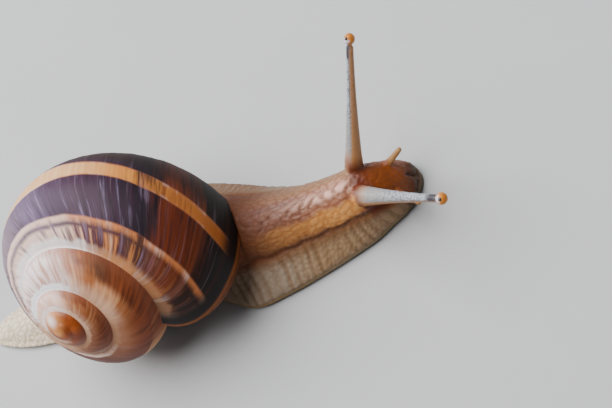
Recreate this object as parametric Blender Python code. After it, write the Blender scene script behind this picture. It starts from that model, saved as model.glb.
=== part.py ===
"""A banded garden snail of the Helix kind, life size, creeping with both long tentacles out.

+X is forward, +Y the animal's left, +Z up. The sole rests at Z = 0 and the origin lies on its
midline, under the shell. Lengths in the constants are millimetres.
"""

import math

import bmesh
import bpy
from mathutils import Matrix, Vector

MM = 0.001
GAP = 0.3
WELD = 0.00001
HALVINGS = 30

# The shell: an oval tube wound about an axis, every measure growing by a constant factor a turn.
# Turn 0 is where the lip meets the whorl before it, and turns run back to the tip as negatives.
STEPS_A_TURN = 32
SHELL_STEPS = 136
TIP_DOME = 0.2
WHORLS = SHELL_STEPS / STEPS_A_TURN
RADIUS_GROWTH = 1.76
DEPTH_GROWTH = 1.994
TUBE_FROM_AXIS = 10.83
TUBE_DEPTH = 23.52
TUBE_HALF_WIDTH = 12.21
TUBE_HALF_HEIGHT = 14.43
TUBE_LEAN = math.radians(40)
LIP_SWEEP = 0.0415
LIP_SWEEP_CENTRE = 0.557
LIP_BLEND = 0.5
LIP_REACH = 0.022
LIP_REACH_OVER = 1.2
SUTURE_BETWEEN = (-2.7, -1.5)
AXIS_BETWEEN = (1.2, 3.0)
BAND_STRIPS = 8
BASE_STRIPS = 14
SHELL_TIP = (-14.0, -16.9, 23.7)
SHELL_HEADING = math.radians(-109.3)
SHELL_TILT = math.radians(57.1)
SHELL_SPIN = math.radians(60.1)

# The body along X: half-width and side shift of the sole, half-width and side shift of the
# back, and height of the back.
TAIL_TIP = -45.5
SNOUT = 43.4
BODY = (
    # x, sole, sole shift, back, back shift, height
    (-45.5, 0.0, -1.5, 0.0, -1.5, 0.0),
    (-42.0, 2.9, -1.6, 2.0, -1.6, 1.8),
    (-36.0, 4.7, -1.7, 3.2, -1.7, 3.1),
    (-28.0, 6.6, -0.8, 4.6, -0.8, 4.7),
    (-18.0, 9.0, 0.7, 6.2, 0.5, 6.4),
    (-8.0, 10.5, 2.0, 7.4, 1.2, 8.2),
    (2.0, 11.1, 1.4, 7.9, 0.6, 9.6),
    (10.0, 11.6, -2.0, 7.6, -1.0, 11.0),
    (16.0, 10.1, -3.2, 7.0, -2.3, 11.3),
    (23.0, 8.3, -3.7, 6.1, -2.7, 11.0),
    (30.0, 6.9, -3.4, 5.5, -2.6, 10.7),
    (34.0, 6.2, -2.9, 5.3, -2.4, 11.0),
    (37.0, 5.4, -2.2, 4.9, -2.1, 10.2),
    (39.5, 4.7, -1.7, 4.3, -1.7, 8.3),
    (41.5, 3.6, -1.3, 3.3, -1.3, 5.8),
    (43.4, 0.0, -0.9, 0.0, -0.9, 0.0),
)
BODY_RINGS = 52
BACK_FACES = 20
SOLE_FACES = 6
MARGIN = 0.9
MARGIN_FLARE = 20
BACK_ROUND = 1.05

# Where the body is parted: the tail, the neck, the head, and the foot below them.
TAIL_CUT = -22.0
NECK_CUT = 14.5
HEAD_CUT = 33.0
FOOT_TOP = 3.0
BEYOND = 60.0

# The collar of the mantle, a cushion that fills the shell's mouth: its rings, as the share of
# the mouth's outline and the distance below the lip.
COLLAR_RINGS = ((0.0, -1.5), (0.9, -1.5), (0.94, 0.0), (0.9, 1.6), (0.78, 3.2), (0.5, 4.3), (0.0, 4.6))
COLLAR_FACES = 28
LIP_SHARE = 0.75

# Tentacles: root and tip, and on the long ones the way the eye looks out of the bulb. The radii
# are those at the root and under the bulb.
LONG_TENTACLES = {
    "left": ((35.6, -0.4, 9.4), (46.7, 13.1, 26.9), (-0.27, -0.24, 0.93)),
    "right": ((35.4, -4.5, 9.1), (54.5, -15.2, 18.6), (0.05, -0.51, 0.86)),
}
STALK_FLARE = 2
LONG_RADII = {"left": (1.6, 0.57), "right": (1.85, 0.6)}
LONG_RINGS = 9
LONG_FACES = 12
LONG_SPLIT = 0.45
LONG_TOP = 0.93
BULB = (1.0, 0.97)
SHORT_TENTACLES = {
    "left": ((39.4, -0.1, 6.3), (43.9, 1.6, 8.1)),
    "right": ((39.8, -3.6, 4.8), (44.8, -8.0, 5.7)),
}
SHORT_RADII = (0.85, 0.5)
SHORT_RINGS = 6
SHORT_FACES = 10
BALL_RINGS = 10
BALL_FACES = 14
EYE_RADIUS = 0.3
EYE_DEPTH = 0.15
EYE_GAP = 0.2

FINISHES = {
    # node start: colour, roughness
    "shell": ((0.16, 0.07, 0.035), 0.35),
    "eye": ((0.01, 0.008, 0.008), 0.15),
    "tentacle": ((0.42, 0.34, 0.28), 0.45),
    "head": ((0.33, 0.2, 0.13), 0.5),
    "neck": ((0.4, 0.29, 0.22), 0.55),
    "mantle_collar": ((0.28, 0.13, 0.06), 0.45),
    "foot": ((0.5, 0.38, 0.27), 0.55),
    "tail": ((0.55, 0.44, 0.32), 0.55),
}


def clear_scene():
    for obj in list(bpy.data.objects):
        bpy.data.objects.remove(obj, do_unlink=True)


def new_collection(name):
    collection = bpy.data.collections.new(name)
    bpy.context.scene.collection.children.link(collection)
    return collection


def finish(name):
    start = next(key for key in FINISHES if name.startswith(key))
    colour, roughness = FINISHES[start]
    material = bpy.data.materials.new(name)
    material.use_nodes = True
    shader = material.node_tree.nodes["Principled BSDF"]
    shader.inputs["Base Color"].default_value = (*colour, 1)
    shader.inputs["Roughness"].default_value = roughness
    shader.inputs["Metallic"].default_value = 0
    return material


def add_part(name, bm):
    """A sub-part in millimetres becomes a named object, in metres, with its own material."""
    mesh = bpy.data.meshes.new(name)
    bmesh.ops.scale(bm, vec=(MM, MM, MM), verts=bm.verts)
    bmesh.ops.recalc_face_normals(bm, faces=bm.faces)
    bm.to_mesh(mesh)
    bm.free()
    mesh.shade_smooth()
    mesh.set_sharp_from_angle(angle=math.radians(40))
    mesh.materials.append(finish(name))
    obj = bpy.data.objects.new(name, mesh)
    PARTS.objects.link(obj)
    return obj


def add_cutter(name, bm):
    mesh = bpy.data.meshes.new(name)
    bmesh.ops.scale(bm, vec=(MM, MM, MM), verts=bm.verts)
    bmesh.ops.recalc_face_normals(bm, faces=bm.faces)
    bm.to_mesh(mesh)
    bm.free()
    obj = bpy.data.objects.new(name, mesh)
    obj.hide_render = True
    obj.display_type = "WIRE"
    CUTTERS.objects.link(obj)
    return obj


def boolean(obj, other, operation, folded=False):
    """An exact Boolean; folded says that the other mesh may cross itself."""
    modifier = obj.modifiers.new(other.name, "BOOLEAN")
    modifier.operation = operation
    modifier.object = other
    modifier.solver = "EXACT"
    modifier.use_self = folded


def bent_grid(bm, columns, rows, place):
    """A grid with each corner moved to place(u, v), where u and v run from 0 to 1."""
    made = bmesh.ops.create_grid(bm, x_segments=columns, y_segments=rows, size=0.5)
    for vert in made["verts"]:
        vert.co = place(round(vert.co.x + 0.5, 6), round(vert.co.y + 0.5, 6))


def closed_loft(columns, rows, place):
    """A loft whose rows close round and whose ends draw in to points."""
    bm = bmesh.new()
    bent_grid(bm, columns, rows, place)
    bmesh.ops.remove_doubles(bm, verts=bm.verts, dist=WELD / MM)
    return bm


# The shell


def section_point(turn, around):
    """(distance from the axis, depth below the tip) of a point of the tube's section."""
    growth = RADIUS_GROWTH**turn
    sink = DEPTH_GROWTH**turn
    across = TUBE_HALF_WIDTH * math.cos(around)
    along = TUBE_HALF_HEIGHT * math.sin(around)
    radius = TUBE_FROM_AXIS + across * math.cos(TUBE_LEAN) - along * math.sin(TUBE_LEAN)
    depth = across * math.sin(TUBE_LEAN) + along * math.cos(TUBE_LEAN)
    return radius * growth, TUBE_DEPTH * sink + depth * growth


def place_round_axis(turn, radius, depth):
    angle = 2 * math.pi * turn
    return Vector((radius * math.cos(angle), -radius * math.sin(angle), -depth))


def section_angle(turn, radius, depth):
    """The angle round the tube at a turn that faces a point, and how far out it lies, 1 on it."""
    growth = RADIUS_GROWTH**turn
    out = radius / growth - TUBE_FROM_AXIS
    down = (depth - TUBE_DEPTH * DEPTH_GROWTH**turn) / growth
    across = (out * math.cos(TUBE_LEAN) + down * math.sin(TUBE_LEAN)) / TUBE_HALF_WIDTH
    along = (down * math.cos(TUBE_LEAN) - out * math.sin(TUBE_LEAN)) / TUBE_HALF_HEIGHT
    return math.atan2(along, across), math.hypot(along, across)


def eased(share):
    share = min(max(share, 0), 1)
    return share * share * (3 - 2 * share)


def halve(between, is_low):
    """The value between two others where is_low turns from true to false."""
    low, high = between
    for _ in range(HALVINGS):
        middle = (low + high) / 2
        if is_low(middle):
            low = middle
        else:
            high = middle
    return (low + high) / 2


def suture_angle(turn):
    """Where the top of the tube comes out of the whorl before it."""
    def is_inside(around):
        return section_angle(turn - 1, *section_point(turn, around))[1] < 1

    return halve(SUTURE_BETWEEN, is_inside)


def axis_angle(turn):
    """Where the underside of the tube reaches the axis."""
    return halve(AXIS_BETWEEN, lambda around: section_point(turn, around)[0] > 0)


def covered_angle(turn):
    """Where the next whorl lies on the tube."""
    return section_angle(turn, *section_point(turn + 1, suture_angle(turn + 1)))[0]


def lip_turn(turn, around):
    """The lip reaches furthest at the suture and lags most outside; this fades in before it."""
    start = suture_angle(0)
    sweep = math.cos(around - LIP_SWEEP_CENTRE) - math.cos(start - LIP_SWEEP_CENTRE)
    lag = LIP_SWEEP * sweep + LIP_REACH * eased((around - start) / LIP_REACH_OVER)
    return turn - lag * eased((turn + LIP_BLEND) / LIP_BLEND)


def shell_point(turn, around):
    turn = lip_turn(turn, around)
    radius, depth = section_point(turn, around)
    return place_round_axis(turn, max(radius, 0), depth)


def band_point(u, v):
    """The part of each whorl that shows above the next one."""
    turn = -WHORLS * (1 - u)
    if v > 1 - WELD and turn < -1:
        return shell_point(turn + 1, suture_angle(turn + 1))
    start = suture_angle(turn)
    return shell_point(turn, start + (covered_angle(turn) - start) * v)


def base_point(u, v):
    """The underside of the last whorl, from the line of the suture to the axis."""
    turn = u - 1
    start = covered_angle(turn)
    return shell_point(turn, start + (axis_angle(turn) - start) * v)


def grow_shell(clearance=0):
    bm = bmesh.new()
    bent_grid(bm, SHELL_STEPS, BAND_STRIPS, band_point)
    bent_grid(bm, STEPS_A_TURN, BASE_STRIPS, base_point)
    bmesh.ops.remove_doubles(bm, verts=bm.verts, dist=WELD / MM)
    rims = bmesh.ops.holes_fill(bm, edges=bm.edges)["faces"]
    tip = min(rims, key=lambda face: face.calc_center_median().length)
    rims.remove(tip)
    centre = bmesh.ops.poke(bm, faces=[tip])["verts"][0]
    centre.co = Vector((0, 0, TIP_DOME))
    bmesh.ops.triangulate(bm, faces=rims)
    bmesh.ops.recalc_face_normals(bm, faces=bm.faces)
    bm.normal_update()
    for vert, normal in [(vert, vert.normal.copy()) for vert in bm.verts]:
        vert.co += normal * clearance
    bmesh.ops.transform(bm, matrix=shell_pose(), verts=bm.verts)
    return bm


def shell_pose():
    turned = Matrix.Rotation(SHELL_HEADING, 4, "Z") @ Matrix.Rotation(SHELL_TILT, 4, "Y")
    return Matrix.Translation(SHELL_TIP) @ turned @ Matrix.Rotation(SHELL_SPIN, 4, "Z")


# The flesh


def body_turn(x):
    """Rings crowd towards both ends, so that the ends come out round."""
    return math.acos((TAIL_TIP + SNOUT - 2 * x) / (SNOUT - TAIL_TIP)) / math.pi


def body_sizes(u):
    """The sizes of the body at a place along it, on a smooth curve."""
    knots = [body_turn(row[0]) for row in BODY]
    last = len(BODY) - 2
    i = min(sum(knot <= u for knot in knots[1:]), last)
    before, after = max(i - 1, 0), min(i + 2, last + 1)
    span = knots[i + 1] - knots[i]
    t = (u - knots[i]) / span
    sizes = []
    for column in range(1, len(BODY[0])):
        start, end = BODY[i][column], BODY[i + 1][column]
        rise_in = (end - BODY[before][column]) / (knots[i + 1] - knots[before]) * span
        rise_out = (BODY[after][column] - start) / (knots[after] - knots[i]) * span
        sizes.append(
            start * (1 + 2 * t) * (1 - t) ** 2
            + end * t * t * (3 - 2 * t)
            + rise_in * t * (1 - t) ** 2
            - rise_out * t * t * (1 - t)
        )
    return sizes


def body_point(u, v):
    sole, sole_shift, back, back_shift, height = body_sizes(u)
    x = TAIL_TIP + (SNOUT - TAIL_TIP) * (1 - math.cos(math.pi * u)) / 2
    edge = min(MARGIN, height / 2)
    step = v % 1 * (BACK_FACES + SOLE_FACES)
    if step > BACK_FACES + 0.5:
        across = 2 * (step - BACK_FACES - 1) / (SOLE_FACES - 2) - 1
        return Vector((x, sole_shift + across * max(sole - edge / 2, 0), 0))
    arc = math.pi * step / BACK_FACES
    side = math.cos(arc)
    flare = abs(side) ** MARGIN_FLARE
    margin = sole_shift + math.copysign(sole, side)
    rise = max(math.sin(arc), 0) ** BACK_ROUND
    y = (back_shift + back * side) * (1 - flare) + margin * flare
    return Vector((x, y, edge + (height - edge) * rise))


def mouth_outline(v):
    """The lip round the mouth, closed by a straight side against the whorl before."""
    suture, axis = suture_angle(0), axis_angle(0)
    if v < LIP_SHARE:
        return shell_point(0, suture + (axis - suture) * v / LIP_SHARE)
    side = (v - LIP_SHARE) / (1 - LIP_SHARE)
    return shell_point(0, axis).lerp(shell_point(0, suture), side)


def collar():
    outline = [mouth_outline(i / COLLAR_FACES) for i in range(COLLAR_FACES)]
    centre = sum(outline, Vector()) / COLLAR_FACES
    facing = Vector()
    for i, point in enumerate(outline):
        facing += (point - centre).cross(outline[i - 1] - centre)
    facing.normalize()
    if facing.y > 0:
        facing.negate()

    def place(u, v):
        share, below = COLLAR_RINGS[round(u * (len(COLLAR_RINGS) - 1))]
        return centre + (mouth_outline(v % 1) - centre) * share + facing * below

    bm = closed_loft(len(COLLAR_RINGS) - 1, COLLAR_FACES, place)
    bmesh.ops.transform(bm, matrix=shell_pose(), verts=bm.verts)
    return bm


def block(low, high):
    bm = bmesh.new()
    bmesh.ops.create_cube(bm, size=1)
    for vert in bm.verts:
        vert.co = [a + (b - a) * (c + 0.5) for a, b, c in zip(low, high, vert.co)]
    return bm


def domed_stalk(root, tip, radii, rings, faces, start=0.0, end=1.0, clearance=0.0):
    """A round stalk, cut to a share of its length, that thins out fastest near its root."""
    root, tip = Vector(root), Vector(tip)
    along = tip - root
    side = along.cross(Vector((0, 0, 1))).normalized()
    up = side.cross(along).normalized()
    start -= clearance / along.length
    end += clearance / along.length

    def place(u, v):
        ring = min(max((u * (rings + 2) - 1) / rings, 0), 1)
        share = start + (end - start) * ring
        flare = (1 - min(max(share, 0), 1)) ** STALK_FLARE
        radius = radii[1] + (radii[0] - radii[1]) * flare + clearance
        turn = 2 * math.pi * v
        round_it = side * math.cos(turn) + up * math.sin(turn)
        return root + along * share + round_it * (radius if 0 < u < 1 else 0)

    return closed_loft(rings + 2, faces, place)


def ball(centre, radius, stretch=1.0, along=(0, 0, 1)):
    """A ball, or an egg drawn out along a direction."""
    bm = bmesh.new()
    bmesh.ops.create_uvsphere(bm, u_segments=BALL_FACES, v_segments=BALL_RINGS, radius=radius)
    bmesh.ops.scale(bm, vec=(1, 1, stretch), verts=bm.verts)
    turned = Vector((0, 0, 1)).rotation_difference(Vector(along)).to_matrix().to_4x4()
    bmesh.ops.transform(bm, matrix=Matrix.Translation(centre) @ turned, verts=bm.verts)
    return bm


def whole_flesh():
    """The body and the collar joined, with room left for the shell."""
    body = add_cutter("body_whole", closed_loft(BODY_RINGS, BACK_FACES + SOLE_FACES, body_point))
    boolean(body, add_cutter("collar_whole", collar()), "UNION")
    boolean(body, add_cutter("shell_room", grow_shell(GAP)), "DIFFERENCE", folded=True)
    return body


def add_flesh(name, flesh, low, high):
    """The stretch of the flesh inside a block, half a gap short of each of its sides."""
    low = [value + GAP / 2 for value in low]
    high = [value - GAP / 2 for value in high]
    piece = add_part(name, block(low, high))
    boolean(piece, flesh, "INTERSECT")
    return piece


def add_body():
    flesh = whole_flesh()
    right, left, low, high = -BEYOND, BEYOND, -BEYOND, BEYOND
    add_flesh("tail", flesh, (-BEYOND, right, low), (TAIL_CUT, left, high))
    add_flesh("foot", flesh, (TAIL_CUT, right, low), (BEYOND, left, FOOT_TOP))
    add_flesh("mantle_collar", flesh, (TAIL_CUT, right, FOOT_TOP), (NECK_CUT, left, high))
    add_flesh("neck", flesh, (NECK_CUT, right, FOOT_TOP), (HEAD_CUT, left, high))
    return add_flesh("head", flesh, (HEAD_CUT, right, FOOT_TOP), (BEYOND, left, high))


def add_long_tentacle(side, head):
    root, tip, look = LONG_TENTACLES[side]
    along = Vector(tip) - Vector(root)
    gap = GAP / along.length
    name = "tentacle_upper_" + side
    shape = (root, tip, LONG_RADII[side], LONG_RINGS, LONG_FACES)
    add_part(name + "_root", domed_stalk(*shape, 0, LONG_SPLIT))
    add_part(name + "_shaft", domed_stalk(*shape, LONG_SPLIT + gap, LONG_TOP))
    socket = add_cutter(name + "_socket", domed_stalk(*shape, 0, LONG_SPLIT, GAP))
    boolean(head, socket, "DIFFERENCE")
    length, radius = BULB
    centre = Vector(tip) - along.normalized() * length
    bulb = add_part(name + "_bulb", ball(centre, radius, length / radius, along))
    seat = domed_stalk(*shape, LONG_SPLIT, LONG_TOP, GAP)
    boolean(bulb, add_cutter(name + "_seat", seat), "DIFFERENCE")
    eye_centre = centre + Vector(look).normalized() * (radius - EYE_DEPTH)
    add_part("eye_" + side, ball(eye_centre, EYE_RADIUS))
    eye_room = add_cutter("eye_room_" + side, ball(eye_centre, EYE_RADIUS + EYE_GAP))
    boolean(bulb, eye_room, "DIFFERENCE")


def add_short_tentacle(side, head):
    root, tip = SHORT_TENTACLES[side]
    name = "tentacle_lower_" + side
    shape = (root, tip, SHORT_RADII, SHORT_RINGS, SHORT_FACES)
    add_part(name, domed_stalk(*shape))
    boolean(head, add_cutter(name + "_socket", domed_stalk(*shape, clearance=GAP)), "DIFFERENCE")


clear_scene()
PARTS = new_collection("land_snail")
CUTTERS = new_collection("cutters")
add_part("shell", grow_shell())
head_part = add_body()
for hand in ("left", "right"):
    add_long_tentacle(hand, head_part)
    add_short_tentacle(hand, head_part)
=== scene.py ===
"""A banded garden snail, life size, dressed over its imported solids.

+X is forward, +Y the animal's left, +Z up. The measures that the shell, the body and the
tentacles share with the solids are the same named values, in millimetres.
"""

import math
from functools import lru_cache

import bmesh
import bpy
import numpy as np
from mathutils import Euler, Matrix, Vector, noise
from mathutils.bvhtree import BVHTree


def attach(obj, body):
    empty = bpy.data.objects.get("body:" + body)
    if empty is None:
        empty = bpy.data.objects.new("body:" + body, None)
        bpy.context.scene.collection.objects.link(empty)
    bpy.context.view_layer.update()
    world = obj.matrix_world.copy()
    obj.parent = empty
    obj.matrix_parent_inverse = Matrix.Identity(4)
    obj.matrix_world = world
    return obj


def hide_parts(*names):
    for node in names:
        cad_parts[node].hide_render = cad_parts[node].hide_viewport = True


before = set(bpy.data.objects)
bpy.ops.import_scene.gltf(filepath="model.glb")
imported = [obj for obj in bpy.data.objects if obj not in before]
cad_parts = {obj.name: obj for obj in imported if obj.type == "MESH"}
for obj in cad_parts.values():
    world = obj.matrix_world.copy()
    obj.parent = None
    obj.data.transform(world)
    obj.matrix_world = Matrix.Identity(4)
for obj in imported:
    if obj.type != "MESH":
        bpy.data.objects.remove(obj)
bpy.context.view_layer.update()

MM = 0.001
TO_MM = 1000
WELD = 0.00001
HALVINGS = 30

# The shell: an oval tube wound about an axis, every measure growing by a constant factor a turn.
# Turn 0 is where the lip meets the whorl before it, and turns run back to the tip as negatives.
WHORLS = 4.25
RADIUS_GROWTH = 1.76
DEPTH_GROWTH = 1.994
TUBE_FROM_AXIS = 10.83
TUBE_DEPTH = 23.52
TUBE_HALF_WIDTH = 12.21
TUBE_HALF_HEIGHT = 14.43
TUBE_LEAN = math.radians(40)
# How finely the tube is cut: along it, across what shows of a whorl, and across the base.
STEPS_A_TURN = 360
BAND_STRIPS = 26
BASE_STRIPS = 36
# The tip: the height of the dome that closes it, and the rise of the first whorls round it.
TIP_DOME = 0.2
TIP_RISE = 0.5
TIP_ROUND = 2.7
# The lip lags behind in turns: a sweep round the tube, and a steady reach towards the axis.
LIP_SWEEP = 0.0415
LIP_SWEEP_CENTRE = 0.557
LIP_BLEND = 0.5
LIP_REACH = 0.022
LIP_REACH_OVER = 1.2
# The angles round the tube between which the suture and the axis lie.
SUTURE_BETWEEN = (-2.7, -1.5)
AXIS_BETWEEN = (1.2, 3.0)
# Where the shell sits: its tip, and the turns that lean it back over the right side.
SHELL_TIP = (-14.0, -16.9, 23.7)
SHELL_HEADING = math.radians(-109.3)
SHELL_TILT = math.radians(57.1)
SHELL_SPIN = math.radians(60.1)
# The growth map laid on the shell holds the age in turns and the angle round the tube.
AGE_SPAN = 5
AROUND_SPAN = 6
AROUND_START = -3
# The painted highlight on the tip: its turn and its angle round the tube.
GLINT_SPOT = (-3.4, -2.05)
# The outer edge of each whorl, where the next one covers it and painted shade darkens it: its angle
# falls with the turns.
EDGE_SHIFT = 0.18
EDGE_START = 0.68
# Relief that growth leaves: (ridges a turn, height in mm), and the pauses where growth halted.
GROWTH_RIDGES = ((48, 0.07), (110, 0.045))
GROWTH_PAUSES = ((-0.128, 0.09), (-0.36, 0.05), (-0.71, 0.04), (-1.24, 0.06))
PAUSE_WIDTH = 0.006
PAUSE_WANDER = 0.004
# It fades out at the suture, the axis and the start of the base, each over one part in so many.
SUTURE_FADE = 8
AXIS_FADE = 3
BASE_FADE = 12
# The mouth has no depth this close to its hinge on the axis, and its full depth so much further.
HINGE_SHALLOW = 2.8
HINGE_REACH = 7
# The rim of the mouth: (towards the middle of the mouth, into the shell), in mm.
RIM_STEPS = ((0.18, -0.06), (0.42, 0.1), (0.55, 0.5), (0.8, 2.4), (1.6, 4.5))

# The body along X: half-width and side shift of the sole, half-width and side shift of the
# back, and height of the back.
TAIL_TIP = -45.5
SNOUT = 43.4
BODY = (
    # x, sole, sole shift, back, back shift, height
    (-45.5, 0.0, -1.5, 0.0, -1.5, 0.0),
    (-42.0, 2.9, -1.6, 2.0, -1.6, 1.8),
    (-36.0, 4.7, -1.7, 3.2, -1.7, 3.1),
    (-28.0, 6.6, -0.8, 4.6, -0.8, 4.7),
    (-18.0, 9.0, 0.7, 6.2, 0.5, 6.4),
    (-8.0, 10.5, 2.0, 7.4, 1.2, 8.2),
    (2.0, 11.1, 1.4, 7.9, 0.6, 9.6),
    (10.0, 11.6, -2.0, 7.6, -1.0, 11.0),
    (16.0, 10.1, -3.2, 7.0, -2.3, 11.3),
    (23.0, 8.3, -3.7, 6.1, -2.7, 11.0),
    (30.0, 6.9, -3.4, 5.5, -2.6, 10.7),
    (34.0, 6.2, -2.9, 5.3, -2.4, 11.0),
    (37.0, 5.4, -2.2, 4.9, -2.1, 10.2),
    (39.5, 4.7, -1.7, 4.3, -1.7, 8.3),
    (41.5, 3.6, -1.3, 3.3, -1.3, 5.8),
    (43.4, 0.0, -0.9, 0.0, -0.9, 0.0),
)
# How finely the body is cut: rings along it, faces over its back and across its sole, and the
# steps of the table in which its sizes are looked up.
BODY_RINGS = 170
BACK_FACES = 64
SOLE_FACES = 14
TABLE_STEPS = 600
# The foot's margin: its height, and how late the flank flares out to it; and the back's roundness.
MARGIN = 0.9
MARGIN_FLARE = 20
BACK_ROUND = 1.05

# The mantle's collar, ring by ring: (share of the mouth's outline, how far out of the mouth).
COLLAR_RINGS = ((0.0, -1.5), (0.9, -1.5), (0.94, 0.0), (0.9, 1.6), (0.78, 3.2), (0.5, 4.3), (0.0, 4.6))
COLLAR_FACES = 96
# The share of the mouth's outline that follows the lip; the rest is its straight side.
LIP_SHARE = 0.75

# The long tentacles: root, tip and the way that the eye looks; radii at the root and the top,
# and the power by which they thin out from the root.
LONG_TENTACLES = {
    "left": ((35.6, -0.4, 9.4), (46.7, 13.1, 26.9), (-0.27, -0.24, 0.93)),
    "right": ((35.4, -4.5, 9.1), (54.5, -15.2, 18.6), (0.05, -0.51, 0.86)),
}
LONG_RADII = {"left": (1.6, 0.57), "right": (1.85, 0.6)}
STALK_FLARE = 2
# Where the stalk ends inside its bulb, and the bulb's half-length and half-width.
LONG_TOP = 0.93
BULBS = {"left": (0.95, 0.86), "right": (1.0, 0.97)}
SHORT_TENTACLES = {
    "left": ((39.4, -0.1, 6.3), (43.9, 1.6, 8.1)),
    "right": ((39.8, -3.6, 4.8), (44.8, -8.0, 5.7)),
}
SHORT_RADII = (0.85, 0.5)
EYE_RADIUS = 0.3
EYE_DEPTH = 0.15

# The mouth: the height of the cleft over the foot, the slit's place across and its two ends,
# and the centres and half-lengths of the lobes of the lips.
CLEFT = 1.8
SLIT_ACROSS = -1.15
SLIT_LOW = 2.5
SLIT_HIGH = 4.3
LIP_LOBES = (((41.7, 0.2, 2.2), (1.3, 1.5, 1.7)), ((41.7, -2.5, 2.1), (1.3, 1.5, 1.6)))

# The way that the tentacles' tan sides face: away from the light, as their tan is painted shade.
AWAY_FROM_SKY = (0.376, -0.708, -0.58)

# The skin over the fused flesh: the size of its grid, and how often its joins are smoothed.
SKIN_VOXEL = 0.24
JOIN_SMOOTHING = 6
# Its seat under the shell: the room it keeps, the stretch of the body that may touch, how
# often it is smoothed after each push, and the way of the ray that tells inside from outside.
SKIN_ROOM = 0.12
SEAT_START = -38
SEAT_END = 22
SEAT_FLOOR = 1.5
SEAT_SMOOTHING = (8, 6, 0)
RAY = Vector((0.31, 0.93, 0.19))
# The sole is level: what lies lower than this is set down on the floor.
FLAT_BELOW = 0.12
# Where the marks of the tentacles begin and where they are full: shares of the length, and
# distances from the stalk's surface, the bulb's middle, the eye (for its painted glint) and the
# feeler's middle line.
STALK_STARTS = (0.04, 0.16)
STALK_ROUND = (1.1, 0.5)
BULB_ROUND = (1.75, 1.2)
EYE_GLINT_ROUND = (0.8, 0.6)
FEELER_STARTS = (0.25, 0.5)
FEELER_ROUND = (1.6, 1.1)
# Tubercles, the lumps along the neck and the tentacles' wrinkles: (length, width).
LARGE_PEBBLES = (1.65, 1.15)
SMALL_PEBBLES = (0.85, 0.7)
NECK_LUMPS = (2.3, 2.9)
WRINKLES = (0.6, 0.6)
# Angles from the top of the back, in degrees.
LUMPS_ANGLE = 9
LUMPS_SPREAD = 12
FOOT_BEGINS = (52, 60)
GROOVE_ANGLE = 58
GROOVE_SPREAD = 3.6
# Along the body: where the lumps and the groove begin and end, and where the front begins.
LUMPS_BEGIN = (12, 17)
LUMPS_END = (36, 34)
GROOVE_BEGINS = (8, 14)
GROOVE_ENDS = (41, 38)
FRONT_BEGINS = (38.5, 41)
SLIT_BEGINS = (40.6, 41.6)
FOLD_SPACING = 1.8
# The furrow over the foot's margin: its height above the floor. Widths of the sunk lines.
FURROW_HEIGHT = 1.35
FURROW_WIDTH = 0.22
CLEFT_WIDTH = 0.32
SLIT_WIDTH = 0.3
# How far each form stands out of the skin or is sunk in it.
PEBBLE_RELIEF = 0.13
LUMPS_RELIEF = 0.28
FOLD_RELIEF = 0.2
WRINKLE_RELIEF = 0.02
GROOVE_DEPTH = 0.4
FURROW_DEPTH = 0.14
CLEFT_DEPTH = 0.4
SLIT_DEPTH = 0.55

# The camera, in metres and degrees.
CAMERA_PLACE = (0.16299, -0.14394, 0.27015)
CAMERA_TURN = (21.77, 30.69, -7.84)
CAMERA_LENS = 118.6
CAMERA_SENSOR = 36


def eased(share):
    """A share from 0 to 1 that starts and ends gently."""
    share = min(max(share, 0), 1)
    return share * share * (3 - 2 * share)


def halve(ends, is_low):
    """The value between two ends where is_low turns from true to false."""
    low, high = ends
    for _ in range(HALVINGS):
        middle = (low + high) / 2
        if is_low(middle):
            low = middle
        else:
            high = middle
    return (low + high) / 2


def bent_grid(bm, columns, rows, place):
    """A grid with each corner moved to place(u, v), where u and v run from 0 to 1."""
    made = bmesh.ops.create_grid(bm, x_segments=columns, y_segments=rows, size=0.5)
    for vert in made["verts"]:
        vert.co = place(round(vert.co.x + 0.5, 6), round(vert.co.y + 0.5, 6))
    return made["verts"]


def mesh_piece(name, bm, material, slot, *nodes):
    """A finished piece, given in millimetres, that stands for the CAD nodes named."""
    mesh = bpy.data.meshes.new(name)
    bmesh.ops.scale(bm, vec=(MM, MM, MM), verts=bm.verts)
    bm.to_mesh(mesh)
    bm.free()
    return mesh_object(name, mesh, material, slot, *nodes)


def mesh_object(name, mesh, material, slot, *nodes):
    """A finished piece of a mesh in metres, which rides the one body."""
    mesh.shade_smooth()
    mesh.materials.clear()
    mesh.materials.append(material)
    piece = bpy.data.objects.new(name, mesh)
    bpy.context.scene.collection.objects.link(piece)
    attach(piece, "root")
    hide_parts(*nodes)
    return piece


# The shell


def section_point(turn, around, swell=0):
    """(distance from the axis, depth below the tip) of a point of the tube's section."""
    growth = RADIUS_GROWTH**turn
    sink = DEPTH_GROWTH**turn
    across = (TUBE_HALF_WIDTH + swell) * math.cos(around)
    along = (TUBE_HALF_HEIGHT + swell) * math.sin(around)
    radius = TUBE_FROM_AXIS + across * math.cos(TUBE_LEAN) - along * math.sin(TUBE_LEAN)
    depth = across * math.sin(TUBE_LEAN) + along * math.cos(TUBE_LEAN)
    return radius * growth, TUBE_DEPTH * sink + depth * growth


def place_round_axis(turn, radius, depth):
    angle = 2 * math.pi * turn
    return Vector((radius * math.cos(angle), -radius * math.sin(angle), -depth))


def section_angle(turn, radius, depth):
    """The angle round the tube at a turn that faces a point, and how far out it lies, 1 on it."""
    growth = RADIUS_GROWTH**turn
    out = radius / growth - TUBE_FROM_AXIS
    down = (depth - TUBE_DEPTH * DEPTH_GROWTH**turn) / growth
    across = (out * math.cos(TUBE_LEAN) + down * math.sin(TUBE_LEAN)) / TUBE_HALF_WIDTH
    along = (down * math.cos(TUBE_LEAN) - out * math.sin(TUBE_LEAN)) / TUBE_HALF_HEIGHT
    return math.atan2(along, across), math.hypot(along, across)


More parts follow.
